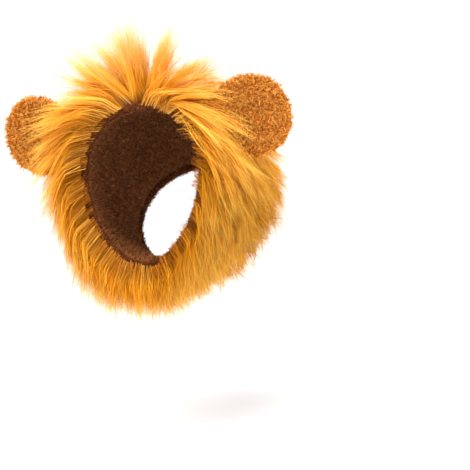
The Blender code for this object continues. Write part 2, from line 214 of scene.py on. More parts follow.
# The shortest pile's share of the length, the share that bends over, and its lightness, with how
# much patches and strands differ.
PILE_SHORTEST = 0.6
PILE_BEND = 0.5
PILE_TONE = 0.5
PILE_PATCH_TONE = 0.35
PILE_STRAND_TONE = 0.1
# The hood's cloth is a little uneven and round at its cut edges, in mm. The hems keep inside the
# solids and swell.
HOOD_UNEVEN = 0.35
CUT_ROUND = 0.5
HEM_SHARE = 0.95
HEM_SWELL = 0.06
# Ear fleece: curly tufts, the share of them in front, their height and curl in mm, their turn in
# radians and a strand's width in mm.
FLEECE_TUFTS = 2300
FLEECE_FRONT = 0.55
FLEECE_HEIGHT = (1.4, 2.6)
FLEECE_CURL = 0.9
FLEECE_TURN = (2.0, 4.5)
FLEECE_WIDTH = 0.55
# Its lightness, how much patches of this size in metres, tufts and strands differ, and how much
# lighter it is from this share of the ear outwards, a painted highlight round the rim.
FLEECE_TONE = 0.3
FLEECE_PATCHES = 0.012
FLEECE_PATCH_TONE = 0.12
FLEECE_TUFT_TONE = 0.12
FLEECE_STRAND_TONE = 0.08
FLEECE_RIM_PAINTED_LIGHT = 0.2
FLEECE_RIM = 0.93

# Finishes of fur and pile: colours at the root, middle and tip, the shares of a strand's length
# that the root's and the tip's take, how much strands differ and how rough they are.
FUR_COLUMNS = ("root", "middle", "tip", "root_length", "tip_length", "variation", "roughness")
FUR_ROWS = {
    "hood_pile": ((0.07, 0.018, 0.005), (0.23, 0.075, 0.020), (0.34, 0.13, 0.045), 0.5, 0.4, 0.9, 0.80),
    # The hems' pile: their own reddish brown, darkened with painted shade.
    "hem_pile_painted_shade": ((0.06, 0.014, 0.004), (0.18, 0.050, 0.013), (0.27, 0.09, 0.030), 0.5, 0.4, 0.9, 0.80),
    "ear_fleece": ((0.46, 0.120, 0.008), (0.96, 0.380, 0.035), (1.0, 0.62, 0.220), 0.6, 0.3, 0.7, 0.80),
    "mane_fur": ((0.48, 0.145, 0.006), (0.82, 0.330, 0.010), (0.98, 0.60, 0.110), 0.3, 0.35, 0.7, 0.55),
    "crest_fur": ((0.32, 0.070, 0.004), (0.98, 0.430, 0.018), (1.0, 0.76, 0.300), 0.3, 0.35, 0.6, 0.55),
}
MANE_COLOURS = dict(zip(FUR_COLUMNS, FUR_ROWS["mane_fur"]))
FUR_SHINE = 0.08
# Strands lighter than this turn towards the colour of their tips.
PALE_TONE = 0.45
# Finishes of plush cloth: the dark and light of its mottling, its scale and its relief in metres.
PLUSH_COLUMNS = ("dark", "light", "scale", "relief")
PLUSH_ROWS = {
    "hood_plush": ((0.08, 0.024, 0.007), (0.19, 0.065, 0.020), 420.0, 0.0006),
    # The hems' cloth: their own reddish brown, darkened with painted shade.
    "hem_plush": ((0.06, 0.014, 0.004), (0.15, 0.042, 0.012), 500.0, 0.0005),
    "ear_plush": ((0.30, 0.075, 0.008), (0.60, 0.220, 0.040), 420.0, 0.0008),
    "undercoat": ((0.34, 0.100, 0.007), (0.48, 0.145, 0.006), 300.0, 0.0010),
}
PLUSH_SHINE = 0.1
PLUSH_ROUGHNESS = 0.95
PLUSH_BUMP = 0.8

# Ears, as the solids have them. The cup is deeper at the tip than at the root by this share.
EAR_REACH = 60.0
EAR_HEIGHT = 60.0
EAR_DEPTH = 9.0
EAR_CUP = 9.0
EAR_CUP_LEAN = 0.25
EAR_PINCH = 0.24
EAR_COLUMNS = ("name", "side", "across", "behind", "above", "droop_deg", "turn_deg")
EAR_ROWS = (
    ("ear_left", -1.0, 73.0, 16.0, 30.0, 16.0, 12.0),
    ("ear_right", 1.0, 70.0, 16.0, 33.0, -4.0, 12.0),
)
# The pads keep this far inside the solids, in mm, and their fleece roots this far inside.
PAD_INSET = 0.6
FLEECE_INSET = 0.5

# Camera: where the middle of the face opening falls in the picture, and how it is seen.
PICTURE = 470.0
MM_PER_PIXEL = 0.65
FACE_PIXEL = (145.0, 177.0)
CAMERA_DISTANCE = 1.2
CAMERA_AZIMUTH = 22.1
CAMERA_ELEVATION = 9.7
CAMERA_ROLL = -7.0
SENSOR = 36.0
# Stage: the floor's level, its run from front to back with its rise at the end, in metres, the
# surrounding light and the lamps, each with its size in metres and its power in watts.
FLOOR_LEVEL = -0.215
FLOOR_HALF_WIDTH = 3.0
FLOOR_RUN = ((-2.5, 0.0), (0.9, 0.0), (1.4, 0.12), (1.75, 0.5), (1.85, 2.5))
FLOOR_WHITE = (0.93, 0.93, 0.93, 1.0)
FLOOR_ROUGHNESS = 0.9
STUDIO_LIGHT = 0.88
LAMP_COLUMNS = ("name", "size", "power", "place")
LAMP_ROWS = (
    ("key", 0.9, 13.0, (-0.5, -1.0, 0.95)),
    ("top", 0.8, 13.0, (0.15, -0.2, 1.2)),
    ("fill", 1.2, 5.0, (1.1, -0.8, 0.3)),
)

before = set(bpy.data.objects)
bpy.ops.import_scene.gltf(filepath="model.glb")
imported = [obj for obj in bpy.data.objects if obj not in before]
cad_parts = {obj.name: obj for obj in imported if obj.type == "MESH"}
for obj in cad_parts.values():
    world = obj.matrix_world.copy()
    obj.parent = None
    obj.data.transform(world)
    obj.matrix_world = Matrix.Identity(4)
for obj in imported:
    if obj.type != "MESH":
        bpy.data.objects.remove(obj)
CAD_BOX = [list(corner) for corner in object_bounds()]


def named(columns, row):
    """One row of a table as a dictionary."""
    return dict(zip(columns, row))


def column(columns, rows, name):
    """One column of a table as an array."""
    return np.array([row[columns.index(name)] for row in rows])


def between_rows(columns, rows, name, at):
    """A column's value at a place given in the table's first column, on a smooth curve."""
    places = column(columns, rows, columns[0])
    values = column(columns, rows, name)
    slopes = np.gradient(values, places)
    at = np.asarray(at, float)
    inside = np.clip(at, places[0], places[-1])
    low = np.clip(np.searchsorted(places, inside, side="right") - 1, 0, len(places) - 2)
    step = places[low + 1] - places[low]
    t = (inside - places[low]) / step
    start = (1 + 2 * t) * (1 - t) ** 2 * values[low] + t * (1 - t) ** 2 * step * slopes[low]
    end = t**2 * (3 - 2 * t) * values[low + 1] + t**2 * (t - 1) * step * slopes[low + 1]
    beyond = (at - inside) * np.where(at < inside, slopes[0], slopes[-1])
    return start + end + beyond


def unit(vectors):
    """Vectors scaled to length one."""
    vectors = np.asarray(vectors, float)
    return vectors / np.maximum(np.linalg.norm(vectors, axis=-1, keepdims=True), 1e-12)


def spine(along):
    """The middle of the hood's section at this way from the face opening, in mm."""
    along = np.asarray(along, float)
    ways = along[..., None] * np.linspace(0.0, 1.0, 25)
    tilt = np.radians(between_rows(HOOD_COLUMNS, HOOD_ROWS, "tilt_deg", ways))
    back = np.cos(tilt).mean(-1) * along
    sink = np.sin(tilt).mean(-1) * along
    return np.stack([np.zeros_like(along), back, -sink], -1)


def section_points(angle, along):
    """Points on the inside of the hood, in mm from the middle of the face opening."""
    angle, along = np.broadcast_arrays(np.asarray(angle, float), np.asarray(along, float))
    half_width, up, down, tilt = (
        between_rows(HOOD_COLUMNS, HOOD_ROWS, name, along) for name in HOOD_COLUMNS[1:]
    )
    tilt = np.radians(tilt)
    across = half_width * np.sin(angle) * (1 + EGG * np.cos(angle))
    rise = np.where(np.cos(angle) > 0, up, down) * np.cos(angle)
    return spine(along) + np.stack([across, rise * np.sin(tilt), rise * np.cos(tilt)], -1)


CROWN = section_points(0.0, CROWN_ALONG)


def hood_frame(angle, along):
    """Inside points in metres, with the outward normal, the way down the side and the way back."""
    small_turn, small_way = 0.01, 0.5
    point = section_points(angle, along)
    round_it = section_points(angle + small_turn, along) - section_points(angle - small_turn, along)
    way_back = section_points(angle, along + small_way) - section_points(angle, along - small_way)
    round_it, way_back = unit(round_it), unit(way_back)
    normal = unit(np.cross(round_it, way_back))
    return (point - CROWN) * MM, normal, round_it, way_back


def hood_at(angle, along, out):
    """Points of the hood's shape in metres, pushed outwards by out in mm."""
    point, normal, _, _ = hood_frame(angle, along)
    return point + normal * np.asarray(out, float)[..., None] * MM


def ripples(points, scale, seed):
    """Smooth unevenness from -1 to 1 at points in metres, with waves of about scale in metres."""
    rng = np.random.default_rng(seed)
    total = np.zeros(points.shape[:-1])
    for _ in range(7):
        way = unit(rng.normal(size=3)) * 2 * math.pi / scale * rng.uniform(0.6, 1.6)
        total += np.sin(points @ way + rng.uniform(0, 2 * math.pi))
    return total / 4.5


def settings():
    """The sizes and colours that a user can change."""
    return bpy.context.scene.mane_wig


def finish_piece(obj, replaced=()):
    """Ties a piece to the hood's body and hides the solids that it stands for."""
    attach(obj, "root")
    if replaced:
        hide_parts(*replaced)


# Materials


def new_sockets(group, way, kind, *names):
    """Named inputs or outputs of one kind for a node group."""
    for name in names:
        group.interface.new_socket(name=name, in_out=way, socket_type=kind)


def fur_group():
    """Node group: a strand's colour, from its root to its tip and from strand to strand."""
    found = bpy.data.node_groups.get("Fur Colour")
    if found:
        return found
    group = bpy.data.node_groups.new("Fur Colour", "ShaderNodeTree")
    new_sockets(group, "INPUT", "NodeSocketColor", "Root", "Middle", "Tip")
    new_sockets(group, "INPUT", "NodeSocketFloat", "Root Length", "Tip Length", "Variation")
    new_sockets(group, "OUTPUT", "NodeSocketColor", "Color")
    nodes, links = group.nodes, group.links
    given, result = nodes.new("NodeGroupInput"), nodes.new("NodeGroupOutput")
    reach, tone = nodes.new("ShaderNodeAttribute"), nodes.new("ShaderNodeAttribute")
    reach.attribute_name, tone.attribute_name = "root_tip", "tone"
    rise = nodes.new("ShaderNodeMapRange")
    rise.interpolation_type = "SMOOTHSTEP"
    links.new(reach.outputs["Fac"], rise.inputs["Value"])
    links.new(given.outputs["Root Length"], rise.inputs["From Max"])
    tip_start = nodes.new("ShaderNodeMath")
    tip_start.operation = "SUBTRACT"
    tip_start.inputs[0].default_value = 1.0
    links.new(given.outputs["Tip Length"], tip_start.inputs[1])
    fade = nodes.new("ShaderNodeMapRange")
    fade.interpolation_type = "SMOOTHSTEP"
    links.new(reach.outputs["Fac"], fade.inputs["Value"])
    links.new(tip_start.outputs[0], fade.inputs["From Min"])
    lower, upper = nodes.new("ShaderNodeMix"), nodes.new("ShaderNodeMix")
    for mix in (lower, upper):
        mix.data_type = "RGBA"
    links.new(rise.outputs["Result"], lower.inputs["Factor"])
    links.new(given.outputs["Root"], lower.inputs[6])
    links.new(given.outputs["Middle"], lower.inputs[7])
    golden = nodes.new("ShaderNodeMath")
    golden.operation = "ADD"
    golden.use_clamp = True
    links.new(fade.outputs["Result"], golden.inputs[0])
    bright = nodes.new("ShaderNodeMapRange")
    bright.inputs["From Min"].default_value = PALE_TONE
    links.new(tone.outputs["Fac"], bright.inputs["Value"])
    links.new(bright.outputs["Result"], golden.inputs[1])
    links.new(golden.outputs[0], upper.inputs["Factor"])
    links.new(lower.outputs[2], upper.inputs[6])
    links.new(given.outputs["Tip"], upper.inputs[7])
    spread = nodes.new("ShaderNodeMath")
    spread.operation = "MULTIPLY_ADD"
    centred = nodes.new("ShaderNodeMath")
    centred.operation = "SUBTRACT"
    centred.inputs[1].default_value = 0.5
    links.new(tone.outputs["Fac"], centred.inputs[0])
    links.new(centred.outputs[0], spread.inputs[0])
    links.new(given.outputs["Variation"], spread.inputs[1])
    spread.inputs[2].default_value = 1.0
    shade = nodes.new("ShaderNodeVectorMath")
    shade.operation = "SCALE"
    links.new(upper.outputs[2], shade.inputs[0])
    links.new(spread.outputs[0], shade.inputs["Scale"])
    links.new(shade.outputs["Vector"], result.inputs["Color"])
    return group


def fur_material(name, colours=None):
    """Fur or pile from its row of finishes, in its own colours or in the given ones, as the strand
    colour group into a soft, slightly shiny surface."""
    finish = named(FUR_COLUMNS, FUR_ROWS[name])
    made = bpy.data.materials.new(name)
    made.use_nodes = True
    nodes, links = made.node_tree.nodes, made.node_tree.links
    shader = nodes["Principled BSDF"]
    group = nodes.new("ShaderNodeGroup")
    group.node_tree = fur_group()
    colours = colours or (finish["root"], finish["middle"], finish["tip"])
    for socket, value in zip(("Root", "Middle", "Tip"), colours):
        group.inputs[socket].default_value = (*value, 1.0)
    for socket in ("Root Length", "Tip Length", "Variation"):
        group.inputs[socket].default_value = finish[socket.lower().replace(" ", "_")]
    links.new(group.outputs["Color"], shader.inputs["Base Color"])
    shader.inputs["Roughness"].default_value = finish["roughness"]
    shader.inputs["Specular IOR Level"].default_value = FUR_SHINE
    return made


def cloth_group():
    """Node group: mottled short plush, as a colour and a height."""
    found = bpy.data.node_groups.get("Plush")
    if found:
        return found
    group = bpy.data.node_groups.new("Plush", "ShaderNodeTree")
    new_sockets(group, "INPUT", "NodeSocketColor", "Dark", "Light")
    new_sockets(group, "INPUT", "NodeSocketFloat", "Scale")
    new_sockets(group, "OUTPUT", "NodeSocketColor", "Color")
    new_sockets(group, "OUTPUT", "NodeSocketFloat", "Height")
    nodes, links = group.nodes, group.links
    given, result = nodes.new("NodeGroupInput"), nodes.new("NodeGroupOutput")
    place = nodes.new("ShaderNodeTexCoord")
    noise = nodes.new("ShaderNodeTexNoise")
    noise.inputs["Detail"].default_value = 3.0
    links.new(place.outputs["Object"], noise.inputs["Vector"])
    links.new(given.outputs["Scale"], noise.inputs["Scale"])
    spread = nodes.new("ShaderNodeMapRange")
    spread.inputs["From Min"].default_value = 0.35
    spread.inputs["From Max"].default_value = 0.65
    links.new(noise.outputs["Fac"], spread.inputs["Value"])
    mix = nodes.new("ShaderNodeMix")
    mix.data_type = "RGBA"
    links.new(spread.outputs["Result"], mix.inputs["Factor"])
    links.new(given.outputs["Dark"], mix.inputs[6])
    links.new(given.outputs["Light"], mix.inputs[7])
    links.new(mix.outputs[2], result.inputs["Color"])
    links.new(spread.outputs["Result"], result.inputs["Height"])
    return group


def cloth_material(name, light=None):
    """Short plush cloth with a fine uneven pile, from its row of finishes."""
    finish = named(PLUSH_COLUMNS, PLUSH_ROWS[name])
    made = bpy.data.materials.new(name)
    made.use_nodes = True
    nodes, links = made.node_tree.nodes, made.node_tree.links
    shader = nodes["Principled BSDF"]
    plush = nodes.new("ShaderNodeGroup")
    plush.node_tree = cloth_group()
    plush.inputs["Dark"].default_value = (*finish["dark"], 1.0)
    plush.inputs["Light"].default_value = (*(light or finish["light"]), 1.0)
    plush.inputs["Scale"].default_value = finish["scale"]
    links.new(plush.outputs["Color"], shader.inputs["Base Color"])
    relief = nodes.new("ShaderNodeBump")
    relief.inputs["Strength"].default_value = PLUSH_BUMP
    relief.inputs["Distance"].default_value = finish["relief"]
    links.new(plush.outputs["Height"], relief.inputs["Height"])
    links.new(relief.outputs["Normal"], shader.inputs["Normal"])
    shader.inputs["Roughness"].default_value = PLUSH_ROUGHNESS
    shader.inputs["Specular IOR Level"].default_value = PLUSH_SHINE
    return made


# Strands


def pushed_out(points, obstacles, needed_share=1.0):
    """Points in metres, moved out of the obstacles, each (surface, (room, greatest depth) in mm)."""
    flat = points.reshape(-1, 3).copy()
    for tree, (room, depth) in obstacles:
        needed = room * needed_share * MM
        for n, point in enumerate(flat):
            place, facing, _, gap = tree.find_nearest(Vector(point))
            if gap > depth * MM:
                continue
            inside = (Vector(point) - place).dot(facing) < 0
            if inside or gap < needed:
                flat[n] = place + facing * needed
    return flat.reshape(points.shape)


def fur_roots(rng, angle, along):
    """Where locks root, in metres, and the way they stand up: off the cloth or off the hem's roll,
    whose inner edge they cover too, but not round the top of the face opening."""
    on_hem = along < -HEM_GAP
    roll = np.radians(rng.uniform(*HEM_ROLL_DEG, len(angle)))
    roll = np.where(np.abs(angle) < math.radians(HEM_SHOWN_DEG), np.abs(roll), roll)
    along = np.where(on_hem, -HEM_GAP - HEM_DEPTH / 2 * (1 + np.cos(roll)), along)
    out = np.where(on_hem, CLOTH / 2 + HEM_WIDTH / 2 * np.sin(roll), CLOTH + ROOT_GAP)
    _, normal, _, way_back = hood_frame(angle, along)
    off_roll = normal * np.sin(roll)[:, None] - way_back * np.cos(roll)[:, None]
    return hood_at(angle, along, out), np.where(on_hem[:, None], off_roll, normal)


def guide_curves(rng, angle, along, kept, steps, obstacles):
    """Centre lines of locks that start at these places on the hood, as (n, steps, 3)."""
    root, stand = fur_roots(rng, angle, along)
    _, normal, round_it, way_back = hood_frame(angle, along)
    degrees = np.degrees(angle)
    flow = {name: between_rows(FLOW_COLUMNS, FLOW_ROWS, name, degrees) for name in FLOW_COLUMNS[1:]}
    row = {name: between_rows(ROW_COLUMNS, ROW_ROWS, name, along) for name in ROW_COLUMNS[1:]}
    n = len(angle)
    lift = flow["lift"] * row["lift_share"] * np.exp(rng.normal(size=n) * LIFT_SCATTER)
    parting = np.clip(degrees / (PARTING_DEG + np.maximum(along, 0.0) * PARTING_GROWTH), -1.0, 1.0)
    run = flow["run"] * row["run_share"] * parting + rng.normal(size=n) * RUN_SCATTER
    back = flow["back"] + row["back"] + rng.normal(size=n) * BACK_SCATTER
    length = flow["length"] * row["length_share"] * kept * rng.uniform(*LENGTH_RANGE, n)
    sink = np.zeros((n, 1))
    step = (length / (steps - 1) * MM)[:, None]
    points = [root]
    for i in range(steps - 1):
        rise = stand * ROOT_RISE * np.exp(-i * step / MM / RISE_REACH)
        sink += (flow["droop"] / steps * (ROOT_DROOP + i / steps))[:, None]
        way = unit(normal * lift[:, None] + rise + round_it * run[:, None] + way_back * back[:, None])
        way = unit(way + DOWN * sink)
        points.append(pushed_out(points[-1] + way * step, obstacles, min(1.0, (i + 1) / 2)))
    return np.stack(points, 1), round_it, way_back, normal


def along_curves(curves, share):
    """Points of curves (n, s, 3) at shares (n, m, p) of their length, as (n, m, p, 3)."""
    steps = curves.shape[1] - 1
    place = np.clip(share, 0.0, 0.9999) * steps
    low = place.astype(int)
    part = (place - low)[..., None]
    rows = np.arange(len(curves))[:, None, None]
    return curves[rows, low] * (1 - part) + curves[rows, low + 1] * part


def gathered(rng, curves, sides, look):
    """Strands round each curve that start apart and gather towards its tip.
    sides are three directions for each curve: two in the surface that it grows on and the way
    off it. Returns (n * strands, points, 3) and each strand's reach, from 0 to 1."""
    n, m, p = len(curves), look["strands"], look["points"]
    t = np.linspace(0.0, 1.0, p)[:, None]
    reach = rng.uniform(look["shortest"], 1.0, (n, m))
    centre = along_curves(curves, t[:, 0] * reach[..., None])
    which = np.arange(m) % look["groups"]
    group = rng.normal(size=(n, look["groups"], 3))[:, which][:, :, None]
    own = rng.normal(size=(n, m, 1, 3)) * OWN_PLACE
    closing = t**CLOSING_POWER
    offset = group * (1 - look["gather"] * closing) + own * (1 - OWN_CLOSING * closing)
    offset = offset * look["spread"]
    turns = rng.uniform(*SWAY_TURNS, (n, m, 1, 3)) * 2 * math.pi
    start = rng.uniform(0.0, 2 * math.pi, (n, m, 1, 3))
    sway = (np.sin(t * turns + start) - np.sin(start)) * t * look["sway"]
    stray = rng.normal(size=(n, m, 1, 3)) * t**2 * look["stray"]
    loose = np.where(rng.random((n, m, 1, 1)) < look["loose"], LOOSE_TIMES, 1.0)
    offset = (offset + (sway + stray) * loose) * MM
    off = offset[..., 2:]
    offset[..., 2:] = (np.abs(off) * OFF_SURFACE + off * (1 - OFF_SURFACE)) * t
    points = centre + sum(offset[..., i : i + 1] * sides[i][:, None, None] for i in range(3))
    return points.reshape(n * m, p, 3), reach.reshape(-1)


def combed(points):
    """Strands whose strays are drawn in towards the box round the solids."""
    low = np.array(CAD_BOX[0]) - STRAY_ROOM * MM
    high = np.array(CAD_BOX[1]) + STRAY_ROOM * MM
    points = np.where(points < low, low + (points - low) * STRAY_SHARE, points)
    return np.where(points > high, high + (points - high) * STRAY_SHARE, points)


def strand_mesh(name, points, facing, width, tone, rng):
    """One mesh of flat tapering strands. points are (n, p, 3), facing the way they look, width in
    mm, tone each strand's lightness from 0 to 1."""
    points = combed(points)
    n, p = points.shape[:2]
    tangent = unit(np.gradient(points, axis=1))
    facing = unit(facing[:, None] - (facing[:, None] * tangent).sum(-1, keepdims=True) * tangent)
    turn = rng.normal(size=(n, 1, 1)) * STRAND_ROLL
    facing = facing * np.cos(turn) + np.cross(tangent, facing) * np.sin(turn)
    t = np.linspace(0.0, 1.0, p)
    half = (np.cross(tangent, facing) * (1 - TAPER * t[:, None] ** TAPER_POWER)) * width / 2 * MM
    edges = np.stack([points - half, points + half], 2)[:, :-1].reshape(n, -1, 3)
    vertices = np.concatenate([edges, points[:, -1:]], 1)
    count = 2 * (p - 1) + 1
    first = np.arange(p - 2) * 2
    quads = np.stack([first, first + 1, first + 3, first + 2], 1).reshape(-1)
    loops = np.concatenate([quads, [count - 3, count - 2, count - 1]])
    starts = np.concatenate([np.arange(p - 2) * 4, [4 * (p - 2)]])
    base = np.arange(n)[:, None]
    mesh = bpy.data.meshes.new(name)
    mesh.vertices.add(n * count)
    mesh.vertices.foreach_set("co", vertices.astype(np.float32).reshape(-1))
    all_loops = (loops + base * count).reshape(-1).astype(np.int32)
    mesh.loops.add(len(all_loops))
    mesh.loops.foreach_set("vertex_index", all_loops)
    all_starts = (starts + base * len(loops)).reshape(-1).astype(np.int32)
    mesh.polygons.add(len(all_starts))
    mesh.polygons.foreach_set("loop_start", all_starts)
    mesh.update(calc_edges=True)
    reach = np.concatenate([np.repeat(t[:-1], 2), [1.0]])
    per_vertex = {"root_tip": np.tile(reach, n), "tone": np.repeat(np.clip(tone, 0, 1), count)}
    for attribute, values in per_vertex.items():
        stored = mesh.attributes.new(attribute, "FLOAT", "POINT")
        stored.data.foreach_set("value", values.astype(np.float32))
    bake = mesh.uv_layers.new(name="OFBake")
    uv = np.stack([per_vertex["root_tip"][all_loops], per_vertex["tone"][all_loops]], 1)
    bake.data.foreach_set("uv", (uv * 0.98 + 0.01).astype(np.float32).reshape(-1))
    mesh.shade_smooth()
    return mesh


def add_mesh(name, mesh, material):
    """A new object with this mesh and material."""
    made = bpy.data.objects.new(name, mesh)
    bpy.context.scene.collection.objects.link(made)
    mesh.materials.append(material)
    return made


def grid_mesh(name, rows, closed_rows=False):
    """A mesh of quads through rings of points, (rings, around, 3), each ring closed."""
    rings, around = rows.shape[:2]
    faces = []
    for ring in range(rings if closed_rows else rings - 1):
        after = (ring + 1) % rings
        for i in range(around):
            j = (i + 1) % around
            faces.append((ring * around + i, ring * around + j, after * around + j, after * around + i))
    mesh = bpy.data.meshes.new(name)
    mesh.from_pydata(rows.reshape(-1, 3).tolist(), [], faces)
    volume = sum(face.center.dot(face.normal) * face.area for face in mesh.polygons)
    if volume < 0:
        mesh.flip_normals()
    mesh.shade_smooth()
    return mesh


def surface_tree(obj):
    """The surface of an object, for finding the nearest point on it."""
    corners = [v.co.copy() for v in obj.data.vertices]
    return BVHTree.FromPolygons(corners, [tuple(face.vertices) for face in obj.data.polygons])


# Pieces


def pile(rng, roots, normals, way, look, points=4):
    """Short pile: strands that stand on a surface and lean one way, as (n, points, 3)."""
    n = len(roots)
    lean = way * look["lean"]
    t = np.linspace(0.0, 1.0, points)[:, None]
    stand = unit(normals + lean + rng.normal(size=(n, 3)) * look["spread"])
    bend = unit(lean + rng.normal(size=(n, 3)) * look["spread"])
    size = look["length"] * rng.uniform(PILE_SHORTEST, 1.0, (n, 1, 1)) * MM
    return roots[:, None] + stand[:, None] * t * size + bend[:, None] * t**2 * size * PILE_BEND


def pile_tone(rng, roots, look, seed):
    """Lightness of short pile, in patches and with strands that differ."""
    patches = ripples(roots, look["patches"] * MM, seed) * PILE_PATCH_TONE
    return PILE_TONE + patches + rng.normal(size=len(roots)) * PILE_STRAND_TONE


def hood_wall(inside, outside, start, end, rings, around, uneven):
    """Rings of points that run once round the cut of a soft wall, (rings, around, 3)."""
    angles = np.linspace(-math.pi, math.pi, around, endpoint=False)
    ways = np.linspace(start, end, rings)
    stations = [(s, inside) for s in ways]
    stations += [(end + CUT_ROUND, (inside + outside) / 2)]
    stations += [(s, outside) for s in ways[::-1]]
    stations += [(start - CUT_ROUND, (inside + outside) / 2)]
    rows = []
    for s, out in stations:
        base = hood_at(angles, np.full(around, s), np.full(around, out))
        _, normal, _, _ = hood_frame(angles, np.full(around, s))
        rows.append(base + normal * (ripples(base, 0.03, 5) * uneven * MM)[:, None])
    return np.stack(rows)


class ManeWigSettings(bpy.types.PropertyGroup):
    """Sizes and colours of the wig's looks."""

    strand_width: bpy.props.FloatProperty(
        name="Strand Width",
        description="Width of a mane strand at its root, in mm",
        default=0.30,
        min=0.1,
        max=1.0,
    )
    mane_root: bpy.props.FloatVectorProperty(
        name="Mane Root",
        description="Fur colour at the cloth",
        subtype="COLOR",
        default=MANE_COLOURS["root"],
    )
    mane_middle: bpy.props.FloatVectorProperty(
        name="Mane Middle",
        description="Fur colour along the strand",
        subtype="COLOR",
        default=MANE_COLOURS["middle"],
    )
    mane_tip: bpy.props.FloatVectorProperty(
        name="Mane Tip",
        description="Fur colour at the tips",
        subtype="COLOR",
        default=MANE_COLOURS["tip"],
    )
    seed: bpy.props.IntProperty(
        name="Seed",
        description="Another seed scatters the fur anew",
        default=11,
        min=0,
    )


class ManeWigHood(bpy.types.Operator):
    """Adds the hood's plush wall with the pile inside it"""

    bl_idname = "mane_wig.hood"
    bl_label = "Hood"

    def execute(self, context):
        rng = np.random.default_rng(settings().seed)
        rows = hood_wall(0.0, CLOTH, 0.0, HOOD_LENGTH, 40, 120, HOOD_UNEVEN)
        hood = add_mesh("hood_cloth", grid_mesh("hood_cloth", rows, True), cloth_material("hood_plush"))
        finish_piece(hood, ["hood"])
        n = HOOD_PILE["strands"]
        angle = rng.uniform(-math.pi, math.pi, n)
        along = rng.uniform(0.0, HOOD_LENGTH, n)
        roots, normal, _, way_back = hood_frame(angle, along)
        strands = pile(rng, roots, -normal, way_back, HOOD_PILE)
        tone = pile_tone(rng, roots, HOOD_PILE, 9)
        mesh = strand_mesh("hood_pile", strands, -normal, HOOD_PILE["width"], tone, rng)
        finish_piece(add_mesh("hood_pile", mesh, fur_material("hood_pile")))
        return {"FINISHED"}


class ManeWigHems(bpy.types.Operator):
    """Adds the turned plush edges round the face opening and the neck opening"""

    bl_idname = "mane_wig.hems"
    bl_label = "Hems"

    def execute(self, context):
        rng = np.random.default_rng(settings().seed + 1)
        # The hems' cloth and pile are darkened with painted shade.
        cloth, soft = cloth_material("hem_plush"), fur_material("hem_pile_painted_shade")
        around, rings, n = 180, 16, HEM_PILE["strands"]
        turns = np.linspace(0.0, 2 * math.pi, rings, endpoint=False)
        angles = np.linspace(-math.pi, math.pi, around, endpoint=False)
        for name, edge, away in (("face_hem", 0.0, -1.0), ("neck_hem", HOOD_LENGTH, 1.0)):
            middle = edge + away * (HEM_GAP + HEM_DEPTH / 2)
            at_edge = hood_at(angles, np.full(around, edge), np.zeros(around))
            swell = (1 + HEM_SWELL * ripples(at_edge, 0.02, 3)) * HEM_SHARE
            rows = []
            for turn in turns:
                along = middle + HEM_DEPTH / 2 * math.cos(turn) * swell
                out = CLOTH / 2 + HEM_WIDTH / 2 * math.sin(turn) * swell
                rows.append(hood_at(angles, along, out))
            hem = add_mesh(name + "_roll", grid_mesh(name + "_roll", np.stack(rows), True), cloth)
            finish_piece(hem, [name])
            angle, turn = rng.uniform(-math.pi, math.pi, n), rng.uniform(0, 2 * math.pi, n)
            along = middle + HEM_DEPTH / 2 * np.cos(turn)
            out = CLOTH / 2 + HEM_WIDTH / 2 * np.sin(turn)
            roots = hood_at(angle, along, out)
            centre = hood_at(angle, np.full(n, middle), np.full(n, CLOTH / 2))
            _, _, round_it, _ = hood_frame(angle, along)
            normals = unit(roots - centre)
            strands = pile(rng, roots, normals, round_it, HEM_PILE)
            tone = pile_tone(rng, roots, HEM_PILE, 4)
            mesh = strand_mesh(name + "_pile", strands, normals, HEM_PILE["width"], tone, rng)
            finish_piece(add_mesh(name + "_pile", mesh, soft))
        return {"FINISHED"}


def ear_matrix(ear):
    """Where an ear's own frame stands: +X to its tip, -Y to the front, +Z up."""
    side = ear["side"]
    centre = np.array([side * ear["across"], ear["behind"], ear["above"]]) - CROWN
    turn = math.radians(ear["turn_deg"]) * side + (0.0 if side > 0 else math.pi)
    droop = math.radians(ear["droop_deg"]) * side
    place = Matrix.Translation(Vector(centre * MM)) @ Euler((0.0, droop, turn)).to_matrix().to_4x4()
    if side < 0:
        place = place @ Matrix.Diagonal((1.0, -1.0, 1.0, 1.0))
    return np.array(place)


def ear_surface(share, turn, face, place, inset=0.0):
    """Points on an ear, share from its middle to its rim, face -1 in front and 1 behind."""
    pinch = 1 - EAR_PINCH * (1 - np.cos(turn)) / 2
    x = (EAR_REACH / 2 - inset) * share * np.cos(turn)
    z = (EAR_HEIGHT / 2 - inset) * share * np.sin(turn) * pinch
    cup = -EAR_CUP * share**2 * (1 - EAR_CUP_LEAN + EAR_CUP_LEAN * np.cos(turn))
    thick = (EAR_DEPTH / 2 - inset) * np.sqrt(np.maximum(1 - share**3, 0.0))
    local = np.stack([x, cup + face * thick, z], -1) * MM
    return local @ place[:3, :3].T + place[:3, 3]


